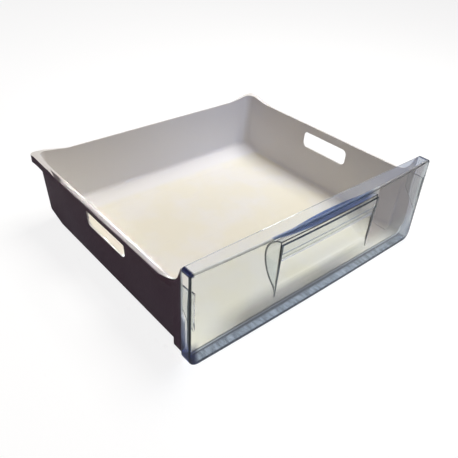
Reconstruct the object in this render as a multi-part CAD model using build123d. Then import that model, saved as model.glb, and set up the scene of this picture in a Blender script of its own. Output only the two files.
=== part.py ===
from build123d import *
import os
from math import atan2, degrees, hypot, radians, tan

# Fridge drawer: a white moulded basket, and a clear front panel that caps the basket's front collar.
# Millimetres. X runs across the drawer, Y from the front to the back, Z up.
# While the pieces are made, Y = 0 is the front face at the panel's two ends.
# Z = 0 is the panel's lower edge.

# Front panel: a plate with a flange all round; it bows forward, most at its upper edge
panel_width = 455.0
panel_height = 148.0
panel_flange = 17.0
panel_wall = 2.5
panel_bow_head = 6.5
panel_bow_foot = 2.0
panel_foot_corner = 14.0
panel_head_corner = 5.0
panel_edge_round = 2.5

# Finger grip sunk behind the panel's plate
grip_width = 190.0
grip_wall = 2.2
grip_back = 22.4
grip_belly_height = 105.0
grip_foot_height = 57.0
grip_roof_height = 137.0
grip_lip_height = 105.0
grip_foot_round = 20.0

# Raised strip above the finger opening, and the ribs that run down from its ends
strip_foot_height = 118.0
strip_head_height = 131.5
strip_proud = 2.0
rib_width = 2.4
rib_foot_height = 47.0

# Locating clips: two ribs behind the plate, close inside the collar's side walls
clip_wall = 2.2
clip_reach = 27.0
clip_foot_height = 58.0
clip_shoulder_height = 92.0
clip_head_height = 118.0
clip_round = 8.0

# Fit of the panel over the basket's collar
panel_fit = 0.3

# Basket
basket_wall = 2.5
basket_depth = 405.0
rim_height = 115.0
side_draft = 2.85
rear_draft = 2.1
rear_corner = 14.0
floor_round = 8.0

# Collar that carries the panel: a tongue in each of its side walls reaches into the panel's flange
collar_end = 37.0
collar_side_step = 0.6
collar_floor_step = 1.9
collar_slope_run = 35.0
collar_set_back = 2.0
tongue_reach = 3.0
tongue_height = 68.0
tongue_slope_rise = 12.0
tongue_round = 5.0

# Wings that climb from the rim to the top of the panel
wing_top_end = 20.5
wing_lean = 70.0
wing_round = 22.0

# Ramp at the rear of the floor
ramp_run = 43.0
ramp_rise = 14.0
ramp_round = 30.0

# Rim lip: a bead outside the wall, in line with the collar, that falls away outwards and rides on ledges
lip_reach = 2.8
lip_drop = 4.4
lip_skirt = 8.0
lip_taper = 24.0

# Ears: the two rear corners, where the rim climbs and its lip levels out, flares and runs on along the back
ear_rise = 5.5
ear_wall = 2.5
ear_flare = 5.7
ear_flare_run = 70.0
ear_level_run = 18.0
ear_back_reach = 6.0
ear_side_run = 45.0
ear_side_slope_run = 30.0
ear_back_run = 52.0
ear_back_slope_run = 38.0
ear_slope_round = 60.0
ear_corner = 8.0

# Hand holes in the side walls
hole_length = 100.0
hole_height = 28.5
hole_middle = 199.0
hole_below_rim = 14.0
hole_corner = 9.0

# Spare length by which cutting shapes run past what they cut
overrun = 40.0

# Derived places
collar_inset = panel_wall + panel_fit
collar_half = panel_width / 2 - collar_inset
collar_top = panel_height - collar_inset
basket_half_top = collar_half - collar_side_step
floor_under = collar_inset + collar_floor_step
side_slope = tan(radians(side_draft))
rear_slope = tan(radians(rear_draft))
ear_top = rim_height + ear_rise


def rounded(shape, corners, radius):
    """The shape with some of its edges rounded; a radius that an inset has used up leaves them sharp."""
    if radius <= 0:
        return shape
    return fillet(corners, radius)


def nearest_corner(outline, point):
    """The corner of an outline that lies at a point of its own plane."""
    return outline.vertices().sort_by_distance(point)[0]


def bow_at(height):
    """How far the middle of the plate stands in front of its ends at one height."""
    return panel_bow_foot + (panel_bow_head - panel_bow_foot) * height / panel_height


def face_view(inset):
    """Outline of the panel seen from the front, drawn inset, in the XZ plane."""
    outline = Rectangle(panel_width - 2 * inset, panel_height - 2 * inset)
    outline = rounded(outline, outline.vertices().group_by(Axis.Y)[0], panel_foot_corner - inset)
    outline = rounded(outline, outline.vertices().group_by(Axis.Y)[-1], panel_head_corner - inset)
    return Plane.XZ * Pos(0, panel_height / 2) * outline


def bowed_plan(height, inset, rear):
    """Plan of the panel at one height, drawn inset: a bowed front, and straight sides back to rear."""
    half = panel_width / 2 - inset
    left = (-half, inset)
    right = (half, inset)
    front = ThreePointArc(left, (0, inset - bow_at(height)), right)
    sides = Polyline(right, (half, rear), (-half, rear), left)
    return Pos(0, 0, height) * make_face(Curve() + [front, sides])


def behind_face(inset, rear):
    """Everything behind the bowed face, drawn inset, over the panel's height."""
    return loft([bowed_plan(0, inset, rear), bowed_plan(panel_height, inset, rear)], ruled=True)


def front_block(inset, rear):
    """Solid bounded by the bowed face and the panel's front view, both drawn inset, with a rounded border."""
    block = behind_face(inset, rear) & extrude(face_view(inset), rear + overrun, both=True)
    half_way = (inset + rear) / 2
    border = block.edges().filter_by(lambda edge: edge.bounding_box().max.Y < half_way)
    return rounded(block, border, panel_edge_round - inset)


def side_slab(outline, half):
    """An outline drawn in (Y, Z), pushed out to both sides of the middle plane."""
    return extrude(Plane.YZ * outline, half, both=True)


def height_band(low, high):
    """A slab between two heights that covers the whole panel."""
    return Pos(0, 0, low) * Box(
        2 * panel_width, panel_width, high - low, align=(Align.CENTER, Align.CENTER, Align.MIN)
    )


def grip_block(inset, half):
    """Solid of the grip, drawn inset: a lower arc up to the belly and an upper arc over to the plate."""
    foot_y = -bow_at(grip_foot_height)
    lower_run = grip_back - foot_y
    lower_rise = grip_belly_height - grip_foot_height
    lower_radius = hypot(lower_run, lower_rise) ** 2 / (2 * lower_run)
    lower_centre = grip_back - lower_radius
    lower_angle = degrees(atan2(-lower_rise, foot_y - lower_centre))
    upper_radius = grip_roof_height - grip_belly_height
    upper_centre = grip_back - upper_radius
    lower = CenterArc((lower_centre, grip_belly_height), lower_radius - inset, lower_angle, -lower_angle)
    upper = CenterArc((upper_centre, grip_belly_height), upper_radius - inset, 0, 90)
    foot = lower @ 0
    roof = upper @ 1
    front_y = foot_y - overrun
    front = Polyline(roof, (front_y, roof.Y), (front_y, foot.Y), foot)
    return side_slab(make_face(Curve() + [lower, upper, front]), half)


def grip_strip():
    """Raised strip that follows the bow of the face above the finger opening."""
    ahead = Pos(0, -strip_proud, 0) * behind_face(0, panel_flange)
    skin = ahead - behind_face(panel_wall / 2, panel_flange + overrun)
    width = side_slab(Rectangle(2 * panel_width, 2 * panel_width), grip_width / 2)
    return skin & width & height_band(strip_foot_height, strip_head_height)


def grip_rib():
    """Slim rib down the right edge of the finger opening; it sinks into the face at its foot."""
    end_share = 1 - (grip_width / panel_width) ** 2
    foot_face = -bow_at(rib_foot_height) * end_share
    head_face = -bow_at(strip_head_height) * end_share
    outline = make_face(
        Polyline(
            (foot_face, rib_foot_height),
            (head_face - strip_proud, strip_head_height),
            (head_face + panel_wall / 2, strip_head_height),
            (foot_face + panel_wall / 2, rib_foot_height),
            close=True,
        )
    )
    return Pos(grip_width / 2 - rib_width, 0, 0) * extrude(Plane.YZ * outline, rib_width)


def collar_clip():
    """Right clip: a rib that stands on the back of the plate and lies inside the collar's side wall."""
    root = panel_wall / 2
    shoulder = (clip_reach, clip_shoulder_height)
    head = (clip_reach, clip_head_height)
    outline = make_face(
        Polyline((root, clip_foot_height), shoulder, head, (root, clip_head_height), close=True)
    )
    outline = rounded(outline, [nearest_corner(outline, shoulder)], 2 * clip_round)
    outline = rounded(outline, [nearest_corner(outline, head)], clip_round)
    outer_x = collar_half - basket_wall - panel_fit
    return Pos(outer_x - clip_wall, 0, 0) * extrude(Plane.YZ * outline, clip_wall)


def grip_foot_edges(panel):
    """The long edges where the plate bends into the grip's lower arc, from the front one to the rear one."""
    near = grip_wall + panel_wall
    along = panel.edges().filter_by(lambda edge: edge.length > grip_width - 2 * near)
    at_foot = along.filter_by(lambda edge: abs(edge.position_at(0.5).Z - grip_foot_height) < near)
    return at_foot.sort_by(Axis.Y)


def make_front_panel():
    """Clear panel: bowed plate, four flanges, and a finger grip sunk behind the plate."""
    panel = front_block(0, panel_flange) - front_block(panel_wall, panel_flange + overrun)
    grip_reach = grip_back + overrun
    panel = panel + (grip_block(0, grip_width / 2) & behind_face(panel_wall / 2, grip_reach))
    plate = behind_face(0, grip_reach) - behind_face(panel_wall, grip_reach + overrun)
    plate_above_lip = plate & height_band(grip_lip_height, panel_height)
    finger_room = grip_block(grip_wall, grip_width / 2 - grip_wall) - plate_above_lip
    panel = panel - finger_room
    panel = fillet(grip_foot_edges(panel)[-1], grip_foot_round - grip_wall)
    panel = fillet(grip_foot_edges(panel)[0], grip_foot_round)
    right = grip_rib() + collar_clip()
    return panel + grip_strip() + right + mirror(right, Plane.YZ)


def wall_half(height, inset):
    """Half width over the drafted side walls at one height, drawn inset."""
    return basket_half_top - (rim_height - height) * side_slope - inset


def wall_rear(height, inset):
    """Place of the drafted rear wall at one height, drawn inset."""
    return basket_depth - (rim_height - height) * rear_slope - inset


def basket_plan(height, inset, front):
    """Plan of the drafted basket walls at one height, drawn inset, from front to the rear wall."""
    half = wall_half(height, inset)
    rear = wall_rear(height, inset)
    outline = Pos(0, (front + rear) / 2) * Rectangle(2 * half, rear - front)
    rear_corners = outline.vertices().group_by(Axis.Y)[-1]
    return Pos(0, 0, height) * rounded(outline, rear_corners, rear_corner - inset)


def above_floor(inset):
    """Everything above the floor and its rear ramp, drawn inset."""
    slope = ramp_rise / ramp_run
    floor_z = floor_under + inset
    knee_y = wall_rear(floor_under, 0) - ramp_run - inset * (hypot(1, slope) - 1) / slope
    front_y = -2 * overrun
    end_y = basket_depth + overrun
    end_z = floor_z + (end_y - knee_y) * slope
    top = panel_height + end_z
    knee = (knee_y, floor_z)
    outline = make_face(
        Polyline((front_y, floor_z), knee, (end_y, end_z), (end_y, top), (front_y, top), close=True)
    )
    outline = rounded(outline, [nearest_corner(outline, knee)], ramp_round + basket_wall - inset)
    return side_slab(outline, panel_width)


def is_floor_edge(edge, inset, front):
    """True for an edge where the floor or its ramp meets the side walls or the rear wall."""
    middle = edge.position_at(0.5)
    near_wall = abs(middle.X) > wall_half(middle.Z, inset) - rear_corner / 2
    near_rear = middle.Y > wall_rear(middle.Z, inset) - rear_corner / 2
    low = middle.Z < (floor_under + ramp_rise + rim_height) / 2
    upright = abs((edge % 0.5).Z) > abs((edge % 0.5).X) + abs((edge % 0.5).Y)
    return low and not upright and (near_wall or near_rear) and middle.Y > front + panel_fit


def tub(inset, front):
    """Drafted tub with a ramped floor, drawn inset, its lower edges rounded, from front to the rear wall."""
    block = loft([basket_plan(0, inset, front), basket_plan(panel_height, inset, front)], ruled=True)
    block = block & above_floor(inset)
    lower_edges = block.edges().filter_by(lambda edge: is_floor_edge(edge, inset, front))
    return fillet(lower_edges, floor_round + basket_wall - inset)


def rim_profile():
    """Side view of all that lies below the rim, which climbs to the wings in front and to the ears behind."""
    front_y = -2 * overrun
    end_y = basket_depth + overrun
    wing_foot = (wing_top_end + (collar_top - rim_height) / tan(radians(wing_lean)), rim_height)
    ear_foot = (basket_depth - ear_side_run, rim_height)
    ear_head = (basket_depth - ear_side_run + ear_side_slope_run, ear_top)
    outline = make_face(
        Polyline(
            (front_y, -overrun),
            (end_y, -overrun),
            (end_y, ear_top),
            ear_head,
            ear_foot,
            wing_foot,
            (wing_top_end, collar_top),
            (front_y, collar_top),
            close=True,
        )
    )
    outline = rounded(outline, [nearest_corner(outline, wing_foot)], wing_round)
    outline = rounded(outline, [nearest_corner(outline, ear_foot)], ear_slope_round)
    return rounded(outline, [nearest_corner(outline, ear_head)], ear_slope_round)


def below_rim():
    """Everything below the rim, with the drop between the ears at the back."""
    return side_slab(rim_profile(), panel_width) - back_valley()


def back_valley():
    """The drop of the rear rim between the two ears."""
    foot_x = basket_half_top - ear_back_run
    head_x = foot_x + ear_back_slope_run
    left_foot = (-foot_x, rim_height)
    right_foot = (foot_x, rim_height)
    valley = make_face(
        Polyline(
            (-head_x, ear_top),
            left_foot,
            right_foot,
            (head_x, ear_top),
            (head_x, panel_height),
            (-head_x, panel_height),
            close=True,
        )
    )
    feet = [nearest_corner(valley, left_foot), nearest_corner(valley, right_foot)]
    valley = rounded(valley, feet, ear_slope_round)
    reach = ear_side_run + overrun
    return Pos(0, basket_depth + overrun, 0) * extrude(Plane.XZ * valley, reach)


def ear_back_line(reach):
    """Place along X where the ear's slanting rear edge stands a given way out from the rear wall's face."""
    foot_x = basket_half_top - ear_back_run
    corner_x = collar_half + lip_reach + ear_flare
    return foot_x + (corner_x - foot_x) * reach / ear_back_reach


def lip_plan():
    """Plan of the right lip and ear, from inside the wall's face out to their edge."""
    inner_x = basket_half_top - basket_wall
    inner_y = basket_depth - basket_wall
    outer_x = collar_half + lip_reach
    corner = (outer_x + ear_flare, basket_depth + ear_back_reach)
    outline = make_face(
        Polyline(
            (inner_x, collar_end),
            (collar_half, collar_end),
            (outer_x, collar_end + lip_taper),
            (outer_x, basket_depth - ear_flare_run),
            corner,
            (ear_back_line(0), basket_depth),
            (ear_back_line(0), inner_y),
            (inner_x, inner_y),
            close=True,
        )
    )
    outline = rounded(outline, [nearest_corner(outline, (inner_x, inner_y))], rear_corner - basket_wall)
    return rounded(outline, [nearest_corner(outline, corner)], ear_corner)


def ear_room_plan():
    """Plan of the hollow under the right ear."""
    root = basket_wall / 2
    inner_x = basket_half_top - root
    inner_y = basket_depth - root
    corner = (collar_half + lip_reach + ear_flare - ear_wall, basket_depth + ear_back_reach - ear_wall)
    outline = make_face(
        Polyline(
            (inner_x, basket_depth - ear_side_run),
            corner,
            (ear_back_line(ear_wall - root), inner_y),
            (inner_x, inner_y),
            close=True,
        )
    )
    outline = rounded(outline, [nearest_corner(outline, (inner_x, inner_y))], rear_corner - root)
    return rounded(outline, [nearest_corner(outline, corner)], ear_corner - ear_wall)


def below_lip(rim):
    """Everything below the right lip's top, which falls away outwards and levels out to the ear."""
    start_y = basket_depth - ear_flare_run
    end_y = basket_depth + overrun
    level_zone = make_face(
        Polyline(
            (start_y - ear_level_run, rim_height - 2 * lip_drop),
            (start_y + ear_level_run, rim_height),
            (start_y + 2 * ear_level_run, rim_height + lip_drop),
            (start_y + 2 * ear_level_run, panel_height),
            (end_y, panel_height),
            (end_y, 0),
            (start_y - ear_level_run, 0),
            close=True,
        )
    )
    outwards = Vector(lip_reach, 0, -lip_drop)
    root = Pos(collar_half - lip_reach, 0, lip_drop) * (Plane.YZ * rim_profile())
    falling = extrude(root, 3 * outwards.length, dir=outwards.normalized())
    return rim & (falling + side_slab(level_zone, panel_width))


def rim_lip(rim):
    """Right lip: the layer under its sloping top, hollow below the ear."""
    top = below_lip(rim)
    layer = (extrude(lip_plan(), panel_height) & top) - Pos(0, 0, -lip_drop - lip_skirt) * rim
    return layer - (extrude(ear_room_plan(), panel_height) & Pos(0, 0, -ear_wall) * top)


def floor_wedge(start, floor_z):
    """Wedge by which the floor slopes down to the collar's level, from a place well behind start."""
    low = floor_z - collar_floor_step
    outline = make_face(
        Polyline(
            (start - basket_wall, low),
            (start, low),
            (start + collar_slope_run, floor_z),
            (start - basket_wall, floor_z),
            close=True,
        )
    )
    return side_slab(outline, wall_half(floor_under, floor_round + basket_wall))


def collar_front():
    """Space ahead of the collar: it ends behind the flange, except for a tongue in each side wall."""
    collar_start = panel_flange + collar_set_back
    tongue_end = panel_flange - tongue_reach
    front_y = -2 * overrun
    foot = (collar_start, panel_foot_corner)
    heel = (tongue_end, panel_foot_corner + tongue_slope_rise)
    tip = (tongue_end, tongue_height)
    shoulder = (collar_start, tongue_height + tongue_slope_rise)
    outline = make_face(
        Polyline(
            (front_y, -overrun),
            (collar_start, -overrun),
            foot,
            heel,
            tip,
            shoulder,
            (collar_start, 2 * panel_height),
            (front_y, 2 * panel_height),
            close=True,
        )
    )
    for corner in (foot, heel, tip, shoulder):
        outline = rounded(outline, [nearest_corner(outline, corner)], tongue_round)
    return side_slab(outline, panel_width)


def collar_room(rear):
    """Space inside the collar, open to the front and to the top."""
    inset = collar_inset + basket_wall
    upper = Plane.XZ * Pos(0, panel_height) * Rectangle(panel_width - 2 * inset, panel_height)
    return Pos(0, rear, 0) * extrude(face_view(inset) + upper, rear + 2 * overrun)


def hand_holes():
    """Oblong holes in line with each other, one through each side wall."""
    middle_height = rim_height - hole_below_rim - hole_height / 2
    outline = Pos(hole_middle, middle_height) * RectangleRounded(hole_length, hole_height, hole_corner)
    return side_slab(outline, panel_width)


def make_basket():
    """White basket: ramped tub, collar with wings and tongues, rim lips with ears, and hand holes."""
    step_start = collar_end - basket_wall
    rim = below_rim()
    collar = front_block(collar_inset, collar_end) - collar_front()
    walls = (tub(0, step_start) + collar + floor_wedge(collar_end, floor_under)) & rim
    lip = rim_lip(rim)
    body = walls + lip + mirror(lip, Plane.YZ)
    body = body - tub(basket_wall, step_start - overrun)
    body = body - collar_room(step_start) - floor_wedge(step_start, floor_under + basket_wall)
    return body - hand_holes()


os.makedirs("parts", exist_ok=True)
front_panel = make_front_panel()
basket = make_basket()

# The origin is the middle of the drawer's footprint, at the height of its lowest edge.
extent = Compound([front_panel, basket]).bounding_box()
to_origin = Pos(-extent.center().X, -extent.center().Y, -extent.min.Z)
export_step(to_origin * front_panel, "parts/front_panel.step")
export_step(to_origin * basket, "parts/basket.step")
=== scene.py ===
# %% [markdown]
# # A fridge drawer
# The drawer is a white moulded basket with a clear front panel that sits over its front collar.
# All shapes come from the CAD frame, because both pieces are hard mouldings with real sizes.
# This lesson gives them their plastics, and adds a stage, light and a camera.

import bpy
import numpy as np
from mathutils import Matrix

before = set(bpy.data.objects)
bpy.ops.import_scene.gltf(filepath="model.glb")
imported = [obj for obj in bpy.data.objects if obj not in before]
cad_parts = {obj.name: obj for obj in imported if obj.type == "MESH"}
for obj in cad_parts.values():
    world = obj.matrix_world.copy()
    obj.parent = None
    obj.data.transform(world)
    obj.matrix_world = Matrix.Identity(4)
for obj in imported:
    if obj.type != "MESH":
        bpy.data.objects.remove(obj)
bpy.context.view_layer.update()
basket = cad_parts["basket"]
front_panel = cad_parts["front_panel"]
MM = 0.001

# %% [markdown]
# ## Camera
# The picture was taken from the front left and above, from a little under a metre away.
# The place and turn of the camera were worked out from the drawer's corners in the picture.
# A camera looks along its own -Z, so its matrix holds the directions right, up and back as columns.

# %% Camera
CAMERA_PLACE = np.array([-0.484466, -0.543075, 0.511926])
CAMERA_AHEAD = np.array([0.54678, 0.60742, -0.57625])
CAMERA_UP = np.array([0.34171, 0.46643, 0.81589])
SENSOR_MM = 36.0
FOCUS_MM = 41.69
CLIP_NEAR, CLIP_FAR = 0.01, 50.0


def unit(vector):
    """A vector of length one."""
    return vector / np.linalg.norm(vector)


def place_camera():
    """A camera from its place, its line of sight and its up direction; right = ahead x up."""
    ahead = unit(CAMERA_AHEAD)
    right = unit(np.cross(ahead, CAMERA_UP))
    up = np.cross(right, ahead)
    turn = np.eye(4)
    turn[:3, 0], turn[:3, 1], turn[:3, 2], turn[:3, 3] = right, up, -ahead, CAMERA_PLACE
    lens = bpy.data.cameras.new("camera")
    lens.sensor_width, lens.lens = SENSOR_MM, FOCUS_MM
    lens.clip_start, lens.clip_end = CLIP_NEAR, CLIP_FAR
    camera = bpy.data.objects.new("camera", lens)
    camera.matrix_world = Matrix(turn.tolist())
    bpy.context.scene.collection.objects.link(camera)
    return camera


bpy.context.scene.camera = place_camera()
bpy.context.scene.view_settings.view_transform = "Standard"
print("camera at", CAMERA_PLACE.tolist())


# %% [markdown]
# ## Small helpers for node trees
# A material is a graph. It could be drawn by hand in the shader editor, one node at a time.
# These helpers add a node, set its plain sockets and join it to others in one line instead,
# so that a material reads like a short recipe.

# %% Node helpers
def node(tree, kind, values=None, **options):
    """Adds a node to a tree, sets its options, and sets or links its inputs by name or by number."""
    made = tree.nodes.new(kind)
    for name, value in options.items():
        setattr(made, name, value)
    for name, value in (values or {}).items():
        if isinstance(value, bpy.types.NodeSocket):
            tree.links.new(value, made.inputs[name])
        else:
            made.inputs[name].default_value = value
    return made


def calc(tree, operation, *values):
    """One step of arithmetic in a node tree; a value is a number or another node's output."""
    return node(tree, "ShaderNodeMath", dict(enumerate(values)), operation=operation).outputs[0]


def slope(tree, value, low, high, first=0.0, last=1.0):
    """A straight line from first at low to last at high, and level beyond them."""
    limits = {"Value": value, "From Min": low, "From Max": high, "To Min": first, "To Max": last}
    return node(tree, "ShaderNodeMapRange", limits).outputs[0]


def blend(tree, share, first, second):
    """first where share is 0 and second where it is 1, for colours."""
    return node(tree, "ShaderNodeMixRGB", {0: share, 1: first, 2: second}).outputs[0]


def fresh_material(name):
    """A material with an empty node tree and an output node."""
    material = bpy.data.materials.new(name)
    material.use_nodes = True
    material.node_tree.nodes.clear()
    output = node(material.node_tree, "ShaderNodeOutputMaterial")
    return material, material.node_tree, output


def seen_directly(tree):
    """1 for a ray from the camera, or one that was mirrored or went through clear plastic, and else 0."""
    path = node(tree, "ShaderNodeLightPath")
    mirrored = calc(tree, "MAXIMUM", path.outputs["Is Camera Ray"], path.outputs["Is Glossy Ray"])
    return calc(tree, "MAXIMUM", mirrored, path.outputs["Is Transmission Ray"])


# %% [markdown]
# ## Floor
# A studio table that bends up into a backdrop, like a roll of paper hung on a wall.
# The profile is a flat run, a quarter circle and a wall, carried sideways, so it is a surface of
# two parameters: along the profile and across it. A plain plane would do for one view only.
# The paper glows where it is seen directly, which keeps the ground pale under a soft shadow.
# It sends little light back to the drawer, because the picture's outer walls lie in deep shade,
# and it is greyer in a mirror and through the panel, as the ground was before it was cut out.

# %% Floor
FLOOR_REACH, FLOOR_HALF = 4.0, 6.0
FRONT_RUN = 2.0
COVE_RADIUS, COVE_HEIGHT = 1.5, 5.0
PAPER_GLOW = (0.87, 0.87, 0.87, 1)
PAPER_THROUGH = (0.43, 0.48, 0.46, 1)
PAPER_IN_GLOSS = (0.36, 0.38, 0.41, 1)
PAPER_SHADE = (0.2, 0.2, 0.2, 1)
PAPER_BOUNCE = (0.027, 0.011, 0.018, 1)


def cove_points(steps=24):
    """Profile points (y, z): flat run, (R sin t, R - R cos t) for t from 0 to 90 degrees, and wall."""
    t = np.linspace(0.0, np.pi / 2, steps)
    bend = np.column_stack([FLOOR_REACH + COVE_RADIUS * np.sin(t), COVE_RADIUS * (1 - np.cos(t))])
    return np.vstack([[-FLOOR_REACH - FRONT_RUN, 0.0], bend, [FLOOR_REACH + COVE_RADIUS, COVE_HEIGHT]])


def grid_faces(rows, columns):
    """Four-cornered faces of a grid of rows x columns points."""
    corner = np.arange((rows - 1) * columns).reshape(rows - 1, columns)[:, :-1].ravel()
    return np.column_stack([corner, corner + 1, corner + columns + 1, corner + columns])


def make_floor():
    """The cove: point (i, j) is the profile's point i moved to x = -half or +half."""
    profile = cove_points()
    across = np.array([-FLOOR_HALF, FLOOR_HALF])
    x = np.broadcast_to(across, (len(profile), 2))
    points = np.stack([x, np.repeat(profile[:, :1], 2, 1), np.repeat(profile[:, 1:], 2, 1)], axis=-1)
    mesh = bpy.data.meshes.new("floor")
    mesh.from_pydata(points.reshape(-1, 3).tolist(), [], grid_faces(len(profile), 2).tolist())
    mesh.polygons.foreach_set("use_smooth", np.ones(len(mesh.polygons), dtype=bool))
    floor = bpy.data.objects.new("floor", mesh)
    bpy.context.scene.collection.objects.link(floor)
    return floor


def floor_material():
    """Pale matt paper: white with a soft shadow to the eye, greyer in or through plastic, little bounce."""
    material, tree, output = fresh_material("studio_paper")
    path = node(tree, "ShaderNodeLightPath")
    paper = node(tree, "ShaderNodeBsdfDiffuse", {"Color": PAPER_SHADE})
    colour = blend(tree, path.outputs["Is Transmission Ray"], PAPER_GLOW, PAPER_THROUGH)
    colour = blend(tree, path.outputs["Is Glossy Ray"], colour, PAPER_IN_GLOSS)
    glow = node(tree, "ShaderNodeEmission", {"Color": colour, "Strength": 1.0})
    pale = node(tree, "ShaderNodeAddShader", {0: paper.outputs[0], 1: glow.outputs[0]})
    dim = node(tree, "ShaderNodeBsdfDiffuse", {"Color": PAPER_BOUNCE})
    mix = node(tree, "ShaderNodeMixShader", {0: seen_directly(tree), 1: dim.outputs[0], 2: pale.outputs[0]})
    tree.links.new(mix.outputs[0], output.inputs["Surface"])
    return material


floor = make_floor()
floor.data.materials.append(floor_material())
print("floor faces", len(floor.data.polygons))

# %% [markdown]
# ## Lamps
# A warm soft box hangs over the drawer, a little to the right, so the floor and the ramp are bright
# and the left outer wall, which leans inwards to its foot, lies in shade.
# A narrow strip with a grid shines straight down on the left lip and makes it a bright line.
# A weak, bluish box in front fills the rear wall, like daylight from a window.
# Area lamps are used because a point lamp would draw hard shadow edges that the picture has not.

# %% Lamps
LIP_X, LIP_Y = -0.2225, -0.035
LAMP_UP = (0.0, 1.0, 0.02)


def soft_box(name, place, target, size, watts, colour, beam=180.0):
    """An area lamp that shines from place to target; size is width and length, beam its spread in degrees."""
    lamp = bpy.data.lights.new(name, "AREA")
    lamp.shape, lamp.size, lamp.size_y = "RECTANGLE", size[0], size[1]
    lamp.energy, lamp.color, lamp.spread = watts, colour, np.radians(beam)
    away = unit(np.array(place, float) - np.array(target, float))
    side = unit(np.cross(LAMP_UP, away))
    turn = np.eye(4)
    turn[:3, 0], turn[:3, 1], turn[:3, 2], turn[:3, 3] = side, np.cross(away, side), away, place
    made = bpy.data.objects.new(name, lamp)
    made.matrix_world = Matrix(turn.tolist())
    bpy.context.scene.collection.objects.link(made)
    return made


soft_box(
    "key_box", place=(0.52, 0.13, 1.35), target=(0.0, 0.0, 0.0),
    size=(0.8, 0.8), watts=21.3, colour=(1.0, 0.99, 0.93),
)
soft_box(
    "rim_strip", place=(LIP_X, LIP_Y, 0.32), target=(LIP_X, LIP_Y, 0.0),
    size=(0.006, 0.30), watts=0.014, colour=(1.0, 0.96, 0.97), beam=3.5,
)
soft_box(
    "front_box", place=(0.4, -1.5, 1.3), target=(0.16, 0.19, 0.06),
    size=(0.3, 0.3), watts=0.09, colour=(0.40, 0.56, 1.0), beam=16.0,
)

# %% [markdown]
# ## World
# The room around the stage. Matt faces get a faint purple shade from it, which is the colour
# of the outer walls in the picture. Gloss and clear plastic see a sky that is white low down, like
# the paper, and dark overhead, like a studio ceiling, so the panel gets dark lines in its edges.
# A pale card stands behind the drawer and makes the panel's level top shine.
# A picture of a real studio could do the same, but two ramps are enough and need no file.

# %% World
ROOM_SHADE = (1.0, 0.50, 0.85, 1)
ROOM_STRENGTH = 0.055
SKY_LOW, SKY_HIGH = 0.1, 0.4
CEILING = 0.20
CARD_COLOUR = (0.50, 0.58, 0.82, 1)
CARD_TOWARDS = (0.547, 0.607, 0.576)
CARD_EDGE, CARD_FULL = 0.82, 0.95
PURE_WHITE = (1, 1, 1, 1)


def studio_sky(tree):
    """White at the horizon, dark overhead, with a card where (ray . card direction) is near 1."""
    ray = node(tree, "ShaderNodeTexCoord").outputs["Generated"]
    height = node(tree, "ShaderNodeSeparateXYZ", {0: ray}).outputs["Z"]
    fade = slope(tree, height, SKY_LOW, SKY_HIGH, 1.0, CEILING)
    grey = node(tree, "ShaderNodeCombineColor", {0: fade, 1: fade, 2: fade}).outputs[0]
    facing = node(tree, "ShaderNodeVectorMath", {0: ray, 1: CARD_TOWARDS}, operation="DOT_PRODUCT")
    card = slope(tree, facing.outputs["Value"], CARD_EDGE, CARD_FULL)
    return blend(tree, card, grey, CARD_COLOUR)


def studio_world():
    """A dim room for matt faces, the studio sky for gloss and clear plastic, and white for the camera."""
    world = bpy.data.worlds.new("studio")
    world.use_nodes = True
    tree = world.node_tree
    tree.nodes.clear()
    room = node(tree, "ShaderNodeBackground", {"Color": ROOM_SHADE, "Strength": ROOM_STRENGTH})
    sky = node(tree, "ShaderNodeBackground", {"Color": studio_sky(tree), "Strength": 1.0})
    white = node(tree, "ShaderNodeBackground", {"Color": PURE_WHITE, "Strength": 1.0})
    path = node(tree, "ShaderNodeLightPath")
    bent = calc(tree, "MAXIMUM", path.outputs["Is Glossy Ray"], path.outputs["Is Transmission Ray"])
    around = node(tree, "ShaderNodeMixShader", {0: bent, 1: room.outputs[0], 2: sky.outputs[0]})
    straight = path.outputs["Is Camera Ray"]
    seen = node(tree, "ShaderNodeMixShader", {0: straight, 1: around.outputs[0], 2: white.outputs[0]})
    node(tree, "ShaderNodeOutputWorld", {"Surface": seen.outputs[0]})
    return world


bpy.context.scene.world = studio_world()
print("world", bpy.context.scene.world.name)

# %% [markdown]
# ## Masks
# Both plastics differ from place to place. Painted pictures could hold that, but they need a file
# and an unwrapped mesh. Here a place comes from Object coordinates instead: a ramp turns a height
# or a distance into a soft mask, and masks are multiplied where a place needs two of them.

# %% Masks
def ramp(tree, value, low, high):
    """0 at low, 1 at high, smooth between them; low may be the larger number."""
    limits = {"Value": value, "From Min": low, "From Max": high}
    return node(tree, "ShaderNodeMapRange", limits, interpolation_type="SMOOTHSTEP").outputs[0]


def both(tree, *masks):
    """The product of masks: 1 only where each of them is 1."""
    share = masks[0]
    for mask in masks[1:]:
        share = calc(tree, "MULTIPLY", share, mask)
    return share


def between(tree, value, rise, fall):
    """1 between two places: rise is where the mask is 0 and 1 on one side, and fall is so on the other side."""
    return both(tree, ramp(tree, value, *rise), ramp(tree, value, *fall))


def new_group(name, outputs):
    """An empty shader node group with the input Place and the named outputs; returns it and the place."""
    group = bpy.data.node_groups.new(name, "ShaderNodeTree")
    group.interface.new_socket("Place", in_out="INPUT", socket_type="NodeSocketVector")
    for output in outputs:
        group.interface.new_socket(output, in_out="OUTPUT", socket_type="NodeSocketFloat")
    return group, node(group, "NodeGroupInput").outputs["Place"]


def use_group(tree, group, place):
    """A group placed in a material, with its place joined."""
    return node(tree, "ShaderNodeGroup", {"Place": place}, node_tree=group).outputs


print("mask helpers", [made.__name__ for made in (ramp, both, between, new_group, use_group)])

# %% [markdown]
# ## Moulded skin
# A moulding is never quite even. The melt leaves cloudy changes of shade, the mould's worn steel
# leaves a fine grain, and use leaves thin rubbing marks along the way that packs are pushed.
# Three noises at three scales make these marks. Both plastics share them, so they are one group.

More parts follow.
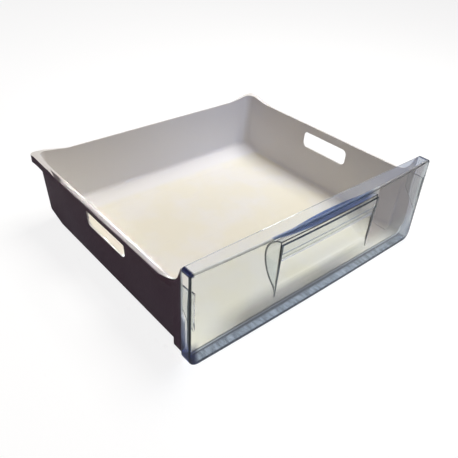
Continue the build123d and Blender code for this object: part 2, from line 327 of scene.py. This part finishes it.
# %% Moulded skin
CLOUD_SCALE, GRAIN_SCALE = 11.0, 900.0
CLOUD_SPAN, RUB_SPAN = (0.34, 0.66), (0.62, 0.74)
RUB_TURN, RUB_STRETCH = (0.0, 0.0, 0.4), (26.0, 420.0, 60.0)


def moulded_skin():
    """Group of patterns of a moulding, each from 0 to 1: cloudy shade, fine grain and thin rubbing marks."""
    group, place = new_group("moulded_skin", ("Cloud", "Grain", "Rub"))
    cloud_look = {"Vector": place, "Scale": CLOUD_SCALE, "Detail": 3.0, "Roughness": 0.55}
    cloud = node(group, "ShaderNodeTexNoise", cloud_look).outputs["Fac"]
    grain = node(group, "ShaderNodeTexNoise", {"Vector": place, "Scale": GRAIN_SCALE, "Detail": 2.0})
    turned = node(group, "ShaderNodeMapping", {"Vector": place, "Rotation": RUB_TURN, "Scale": RUB_STRETCH})
    rub = node(group, "ShaderNodeTexNoise", {"Vector": turned.outputs[0], "Scale": 1.0, "Detail": 2.0})
    marks = {
        "Cloud": ramp(group, cloud, *CLOUD_SPAN),
        "Grain": grain.outputs["Fac"],
        "Rub": ramp(group, rub.outputs["Fac"], *RUB_SPAN),
    }
    node(group, "NodeGroupOutput", marks)
    return group


SKIN = moulded_skin()
print("shared group", SKIN.name)

# %% [markdown]
# ## White plastic
# The basket is moulded in one shot from white polystyrene. Its face is satin with a very fine grain.
# The floor has yellowed a little in use and carries thin rubbing marks from packs pushed in and out.
# Yellowing and marks are masks over one base colour, since the real ones have no depth.
# The gloss is kept low, because a stronger one would mirror the paper in the shaded outer walls.

# %% White plastic
WHITE = (0.80, 0.782, 0.765, 1)
YELLOWED = (0.80, 0.765, 0.655, 1)
RUBBED = (0.74, 0.715, 0.67, 1)
RUB_SHARE, AGE_SPAN = 0.35, (-0.6, 1.0)
FLOOR_TOP, FLOOR_BLEND = 8.5 * MM, 4.0 * MM
SATIN, SATIN_SWING = 0.42, 0.08
WHITE_INDEX, LOW_GLOSS = 1.5, 0.06
GRAIN_STRENGTH, GRAIN_DEPTH = 0.06, 0.5 * MM


def white_plastic():
    """White with a cloudy change of shade, a yellowed and rubbed floor, a fine grain and a satin gloss."""
    material, tree, output = fresh_material("white_moulded_plastic")
    place = node(tree, "ShaderNodeTexCoord").outputs["Object"]
    skin = use_group(tree, SKIN, place)
    height = node(tree, "ShaderNodeSeparateXYZ", {0: place}).outputs["Z"]
    low = ramp(tree, height, FLOOR_TOP + FLOOR_BLEND, FLOOR_TOP)
    aged = both(tree, low, ramp(tree, skin["Cloud"], *AGE_SPAN))
    shade = blend(tree, aged, WHITE, YELLOWED)
    shade = blend(tree, both(tree, low, skin["Rub"], RUB_SHARE), shade, RUBBED)
    grain = {"Height": skin["Grain"], "Strength": GRAIN_STRENGTH, "Distance": GRAIN_DEPTH}
    look = {
        "Base Color": shade,
        "Roughness": calc(tree, "MULTIPLY_ADD", skin["Cloud"], SATIN_SWING, SATIN),
        "IOR": WHITE_INDEX,
        "Specular IOR Level": LOW_GLOSS,
        "Normal": node(tree, "ShaderNodeBump", grain).outputs["Normal"],
    }
    plastic = node(tree, "ShaderNodeBsdfPrincipled", look)
    tree.links.new(plastic.outputs[0], output.inputs["Surface"])
    return material


basket.data.materials[0] = white_plastic()
print("basket finish", basket.data.materials[0].name)

# %% [markdown]
# ## Clear plastic: sizes and tints
# The panel is clear polystyrene with a trace of blue dye. A short way through it is almost colourless,
# and a long way along an edge is deep blue, so part of the colour sits in the volume.
# Where light runs along an edge for a long way, the real panel looks navy or black: down both upright
# edges, in the corners, along the foot flange and over the roof of the grip.
# Light paths of that length would need very many bounces, so these places get painted shade instead,
# a dark tint in the base colour.
# A tint is a base colour of the clear body. Later tints in the list lie over earlier ones.

# %% Clear plastic: sizes and tints
panel_box = np.array(front_panel.bound_box)
PANEL_HALF, PANEL_HEIGHT = float(panel_box[:, 0].max()), float(panel_box[:, 2].max())
FACE_Y, FLANGE_DEPTH = -201.05 * MM, 17.0 * MM
BOW_FOOT, BOW_HEAD = 2.0 * MM, 6.5 * MM
GRIP_HALF, RIB_WIDTH, RIB_FOOT = 95.0 * MM, 2.4 * MM, 47.0 * MM
STRIP_FOOT, STRIP_HEAD = 118.0 * MM, 131.5 * MM

CLEAR = (0.89, 0.92, 0.91, 1)
# Painted shade: the foot flange's dark grey-blue stands for the shadow under the drawer seen through it.
FOOT_SHADE_DARK, FOOT_SHADE_PALE = (0.08, 0.105, 0.145, 1), (0.44, 0.49, 0.57, 1)
TINTS = {
    "Top": (0.98, 0.99, 1.0, 1),
    "Grip": (0.99, 1.0, 1.0, 1),
    # Painted shadow: the panel's and grip's shadow on the front of the basket floor, seen through the plate.
    "Painted Shadow": (0.36, 0.365, 0.375, 1),
    "Side": (1.0, 1.0, 1.0, 1),
    # Right Shade: painted shade, for the shaded right side wall seen through the plate.
    "Right": (0.63, 0.595, 0.605, 1),
    # Side Low to Top Corner: painted shade, the blue and black lines that light running far along the flange
    # edges and corners gives.
    "Side Low": (0.22, 0.29, 0.64, 1),
    "Foot Edge": (0.03, 0.035, 0.05, 1),
    "Side Edge": (0.006, 0.010, 0.016, 1),
    "Low Corner": (0.006, 0.018, 0.14, 1),
    "Top Corner": (0.003, 0.006, 0.06, 1),
    # Roof to Rib: painted shade, the blue band and dark lines that light bent in the grip's edges gives.
    "Roof": (0.10, 0.17, 0.44, 1),
    "Lip Lines": (0.15, 0.21, 0.22, 1),
    "Strip Lines": (0.012, 0.018, 0.03, 1),
    "Rib": (0.02, 0.03, 0.045, 1),
}
print("panel tints", len(TINTS))

# %% [markdown]
# ## Clear plastic: places on the panel
# The face is bowed, so a mask by plain y would drift off it towards the ends. The depth behind the
# bowed face is used instead: it is 0 all over the face and grows towards the rear of the flanges.
# Two masks of depth part the plate from the flanges. The tints of the left half are stronger,
# because the camera looks along the left edge, and the lee mask says by how much.

# %% Clear plastic: places on the panel
ON_PLATE, ON_FLANGES = (4.0 * MM, 2.5 * MM), (2.5 * MM, 4.0 * MM)
ON_SKIN = (1.4 * MM, 0.8 * MM)
LEE_SPAN, LEE_SHARE, LEE_REST = (100.0 * MM, -100.0 * MM), 0.75, 0.25


def panel_axes(tree, place):
    """x, z, side = |x| and depth = y - face, where face = face_y - bow(z) (1 - (x / half)^2)."""
    axes = node(tree, "ShaderNodeSeparateXYZ", {0: place})
    x, y, z = (axes.outputs[k] for k in "XYZ")
    side = calc(tree, "ABSOLUTE", x)
    bow = calc(tree, "MULTIPLY_ADD", z, (BOW_HEAD - BOW_FOOT) / PANEL_HEIGHT, BOW_FOOT)
    arch = calc(tree, "SUBTRACT", 1.0, calc(tree, "POWER", calc(tree, "DIVIDE", side, PANEL_HALF), 2.0))
    depth = calc(tree, "ADD", calc(tree, "SUBTRACT", y, FACE_Y), calc(tree, "MULTIPLY", bow, arch))
    return x, z, side, depth


def lee_share(tree, x):
    """1 at the panel's left end and a quarter at its right end."""
    return calc(tree, "MULTIPLY_ADD", ramp(tree, x, *LEE_SPAN), LEE_SHARE, LEE_REST)


print("bow from", BOW_FOOT, "at the foot to", BOW_HEAD, "at the head")

# %% [markdown]
# ## Clear plastic: flanges, edges and corners
# The foot flange is a band of painted grey-blue shade with a painted dark line along each edge. The upright
# edges are painted near black and broadest half way up. The corners are painted navy. The plate gets a painted
# shadow low down on the left, where the panel's shadow falls on the basket's floor behind it, and a painted
# brown shade at the right, where the shaded side wall shows through.
# In each pair of lengths, the mask is 0 at the first and 1 at the second.

# %% Clear plastic: flanges, edges and corners
FOOT_SKIN, FOOT_ROUND = (4.2 * MM, 3.0 * MM), (6.2 * MM, 4.8 * MM)
FOOT_REAR = (FLANGE_DEPTH - 2.2 * MM, FLANGE_DEPTH - 1.4 * MM)
HEAD_SKIN = (PANEL_HEIGHT - 5.0 * MM, PANEL_HEIGHT - 4.0 * MM)
SIDE_SKIN = (PANEL_HALF - 3.0 * MM, PANEL_HALF - 1.0 * MM)
SIDE_ROUND = (PANEL_HALF - 2.6 * MM, PANEL_HALF - 1.4 * MM)
SIDE_FADE = (110.0 * MM, 20.0 * MM)
LINE_DEPTH, LINE_SWELL = 3.4 * MM, 2.0 * MM
LINE_HEAD, LINE_FOOT = (135.0 * MM, 95.0 * MM), (15.0 * MM, 50.0 * MM)
LOW_CORNER_Z, LOW_CORNER_X = (46.0 * MM, 20.0 * MM), (PANEL_HALF - 16.0 * MM, PANEL_HALF - 6.0 * MM)
TOP_CORNER_Z = (PANEL_HEIGHT - 6.0 * MM, PANEL_HEIGHT - 3.0 * MM)
TOP_CORNER_X = (PANEL_HALF - 7.0 * MM, PANEL_HALF - 4.0 * MM)
# Painted shadow low on the left of the plate, for the panel's shadow on the basket floor behind it.
PAINTED_SHADOW_Z = (16.0 * MM, 30.0 * MM), (80.0 * MM, 34.0 * MM)
PAINTED_SHADOW_X = (-215.0 * MM, -130.0 * MM), (150.0 * MM, 0.0)
# Painted shade at the right of the plate, where the shaded side wall shows through.
RIGHT_SHADE_X, RIGHT_SHADE_Z = ((94.0 * MM, 97.0 * MM), (222.0 * MM, 205.0 * MM)), (30.0 * MM, 70.0 * MM)


def edge_masks(tree, x, z, side, depth):
    """Masks of the plate's painted shadow and painted shade, the flanges, and the painted dark lines of their
    edges and corners.
    """
    ahead, behind = ramp(tree, depth, *ON_PLATE), ramp(tree, depth, *ON_FLANGES)
    lee = lee_share(tree, x)
    foot = both(tree, ramp(tree, z, *FOOT_SKIN), behind)
    rear_edge = both(tree, foot, ramp(tree, depth, *FOOT_REAR))
    front_edge = both(tree, ramp(tree, z, *FOOT_ROUND), ahead)
    swell = both(tree, ramp(tree, z, *LINE_HEAD), ramp(tree, z, *LINE_FOOT))
    line = calc(tree, "LESS_THAN", depth, calc(tree, "MULTIPLY_ADD", swell, LINE_SWELL, LINE_DEPTH))
    on_side = both(tree, ramp(tree, side, *SIDE_SKIN), behind)
    return {
        "Foot": foot,
        "Top": both(tree, ramp(tree, z, *HEAD_SKIN), behind),
        "Painted Shadow": both(tree, between(tree, z, *PAINTED_SHADOW_Z), between(tree, x, *PAINTED_SHADOW_X), ahead),
        "Side": on_side,
        "Right": both(tree, between(tree, x, *RIGHT_SHADE_X), ramp(tree, z, *RIGHT_SHADE_Z), ahead),
        "Side Low": both(tree, on_side, ramp(tree, z, *SIDE_FADE), lee),
        "Foot Edge": calc(tree, "MAXIMUM", rear_edge, front_edge),
        "Side Edge": both(tree, ramp(tree, side, *SIDE_ROUND), line),
        "Low Corner": both(tree, ramp(tree, z, *LOW_CORNER_Z), ramp(tree, side, *LOW_CORNER_X), lee),
        "Top Corner": both(tree, ramp(tree, z, *TOP_CORNER_Z), ramp(tree, side, *TOP_CORNER_X)),
    }


print("foot flange depth", FLANGE_DEPTH)

# %% [markdown]
# ## Clear plastic: the grip
# The finger grip is sunk into the plate. Seen from above, its roof gathers the light of the whole
# plate and shows as a lens-shaped blue band along the panel's top edge; here that band is painted.
# Under it lies a proud strip with a painted black line along its head and painted fine lines under its foot,
# and a painted dark rib ends it on each side. These lines are painted shade for light bent away in the edges.
# The band's lower side is a parabola on the face, and its upper side is a parabola on the top flange.
# The top front edge and the right rib are frosted: a polished edge would be a solid black line there,
# and the real one is a thin grey line.

# %% Clear plastic: the grip
GRIP_SIDE = (GRIP_HALF + 1.0 * MM, GRIP_HALF)
GRIP_LIP = (100.0 * MM, 104.0 * MM)
BAND_ENDS = (-113.0 * MM, -108.0 * MM), (GRIP_HALF, GRIP_HALF - 30.0 * MM)
BAND_FROM, BAND_TO = -112.0 * MM, -5.0 * MM
BAND_FOOT, BAND_RISE = 136.4 * MM, 10.8 * MM
BAND_MIDDLE, BAND_HALF, BAND_REACH = -8.0 * MM, 85.0 * MM, 7.5 * MM
BAND_TOP = (PANEL_HEIGHT - 4.0 * MM, PANEL_HEIGHT - 3.0 * MM)
STRIP_LINE = (STRIP_HEAD - 1.2 * MM, STRIP_HEAD - 0.7 * MM), (STRIP_HEAD + 1.0 * MM, STRIP_HEAD + 0.4 * MM)
UNDER_STRIP = (STRIP_FOOT - 4.5 * MM, STRIP_FOOT - 2.5 * MM), (STRIP_FOOT + 1.0 * MM, STRIP_FOOT)
UNDER_LIP = (STRIP_FOOT - 10.5 * MM, STRIP_FOOT - 9.5 * MM), (STRIP_FOOT - 7.0 * MM, STRIP_FOOT - 8.0 * MM)
UNDER_LIP_SHARE = 0.6
RIB_INNER = GRIP_HALF - RIB_WIDTH
RIB_SIDE = (RIB_INNER - 0.4 * MM, RIB_INNER), (GRIP_HALF + 0.6 * MM, GRIP_HALF + 0.2 * MM)
RIB_RUN = (RIB_FOOT - 2.0 * MM, RIB_FOOT), (STRIP_HEAD + 1.0 * MM, STRIP_HEAD)
FAR_SIDE = (-50.0 * MM, 50.0 * MM)
BROW_Z, BROW_DEPTH = (PANEL_HEIGHT - 3.4 * MM, PANEL_HEIGHT - 2.4 * MM), (3.4 * MM, 2.6 * MM)


def blue_band(tree, x, z, depth):
    """z above foot + rise (1 - t)^2 on the face, and depth under reach (1 - u^2) on the top flange."""
    slack = calc(tree, "SUBTRACT", 1.0, slope(tree, x, BAND_FROM, BAND_TO))
    low_side = calc(tree, "MULTIPLY_ADD", calc(tree, "MULTIPLY", slack, slack), BAND_RISE, BAND_FOOT)
    on_face = both(tree, calc(tree, "GREATER_THAN", z, low_side), ramp(tree, depth, *ON_PLATE))
    u = calc(tree, "DIVIDE", calc(tree, "SUBTRACT", x, BAND_MIDDLE), BAND_HALF)
    reach = calc(tree, "MULTIPLY_ADD", calc(tree, "MULTIPLY", u, u), -BAND_REACH, BAND_REACH)
    on_top = both(tree, ramp(tree, z, *BAND_TOP), calc(tree, "LESS_THAN", depth, reach))
    return both(tree, calc(tree, "MAXIMUM", on_face, on_top), between(tree, x, *BAND_ENDS))


def grip_masks(tree, x, z, side, depth):
    """Masks of the grip's body, its painted blue band, its painted dark lines and ribs, and of the frosted
    edges.
    """
    on_grip = ramp(tree, side, *GRIP_SIDE)
    skin = ramp(tree, depth, *ON_SKIN)
    under_lip = both(tree, between(tree, z, *UNDER_LIP), UNDER_LIP_SHARE)
    lines = calc(tree, "MAXIMUM", between(tree, z, *UNDER_STRIP), under_lip)
    rib = both(tree, between(tree, side, *RIB_SIDE), between(tree, z, *RIB_RUN), skin)
    brow = both(tree, ramp(tree, z, *BROW_Z), ramp(tree, depth, *BROW_DEPTH))
    return {
        "Grip": both(tree, on_grip, ramp(tree, z, *GRIP_LIP)),
        "Roof": blue_band(tree, x, z, depth),
        "Lip Lines": both(tree, lines, on_grip, skin),
        "Strip Lines": both(tree, between(tree, z, *STRIP_LINE), on_grip, skin),
        "Rib": both(tree, rib, lee_share(tree, x)),
        "Frost": calc(tree, "MAXIMUM", brow, both(tree, rib, ramp(tree, x, *FAR_SIDE))),
    }


def panel_places():
    """Group of all masks on the panel, worked out from the place alone."""
    group, place = new_group("panel_places", ["Foot", "Frost"] + list(TINTS))
    axes = panel_axes(group, place)
    node(group, "NodeGroupOutput", {**edge_masks(group, *axes), **grip_masks(group, *axes)})
    return group


PLACES = panel_places()
print("panel masks", len(PLACES.interface.items_tree) - 1)

# %% [markdown]
# ## Clear plastic: the body
# A solid of clear plastic: it bends light with the index of polystyrene, is polished like its mould,
# and its dye takes light away along the path. A thin sheet shader would miss the bright and dark lines
# in the edges. A solid of glass casts a black shadow in a path tracer, so a shadow ray meets
# a lightly tinted, see-through face instead. The foot band gets a painted shade, dark grey-blue for the
# shadow under the drawer seen through it, with streaks from the ground steel there.

# %% Clear plastic: the body
CLEAR_INDEX = 1.52
POLISH, RUB_DULLS, FROST = 0.025, 0.05, 0.5
STREAK_STRETCH, STREAK_SPAN = (220.0, 60.0, 25.0), (0.3, 0.7)
WAVE_STRENGTH, WAVE_DEPTH = 0.15, 0.4 * MM
DYE, DYE_DENSITY = (0.16, 0.30, 0.60, 1), 9.0
SHADOW_TINT = (0.90, 0.93, 0.96, 1)


def panel_tint(tree, place, masks):
    """The clear colour, the streaky painted shade of the foot band, and then each tint over its mask."""
    drawn = node(tree, "ShaderNodeMapping", {"Vector": place, "Scale": STREAK_STRETCH})
    streaks = node(tree, "ShaderNodeTexNoise", {"Vector": drawn.outputs[0], "Scale": 1.0, "Detail": 3.0})
    foot_shade = blend(tree, ramp(tree, streaks.outputs["Fac"], *STREAK_SPAN), FOOT_SHADE_DARK, FOOT_SHADE_PALE)
    tint = blend(tree, masks["Foot"], CLEAR, foot_shade)
    for name, colour in TINTS.items():
        tint = blend(tree, masks[name], tint, colour)
    return tint


def clear_plastic():
    """Clear body with a smooth face, navy where light runs along an edge, and blue dye in its volume."""
    material, tree, output = fresh_material("clear_blue_plastic")
    place = node(tree, "ShaderNodeTexCoord").outputs["Object"]
    masks, skin = use_group(tree, PLACES, place), use_group(tree, SKIN, place)
    gloss = calc(tree, "MULTIPLY_ADD", skin["Rub"], RUB_DULLS, POLISH)
    wave = {"Height": skin["Cloud"], "Strength": WAVE_STRENGTH, "Distance": WAVE_DEPTH}
    look = {
        "Base Color": panel_tint(tree, place, masks),
        "Roughness": calc(tree, "MULTIPLY_ADD", masks["Frost"], FROST, gloss),
        "IOR": CLEAR_INDEX,
        "Transmission Weight": 1.0,
        "Normal": node(tree, "ShaderNodeBump", wave).outputs["Normal"],
    }
    body = node(tree, "ShaderNodeBsdfPrincipled", look)
    sheer = node(tree, "ShaderNodeBsdfTransparent", {"Color": SHADOW_TINT})
    shadow = node(tree, "ShaderNodeLightPath").outputs["Is Shadow Ray"]
    mix = node(tree, "ShaderNodeMixShader", {0: shadow, 1: body.outputs[0], 2: sheer.outputs[0]})
    dye = node(tree, "ShaderNodeVolumeAbsorption", {"Color": DYE, "Density": DYE_DENSITY})
    tree.links.new(mix.outputs[0], output.inputs["Surface"])
    tree.links.new(dye.outputs[0], output.inputs["Volume"])
    return material


front_panel.data.materials[0] = clear_plastic()
print("panel finish", front_panel.data.materials[0].name)
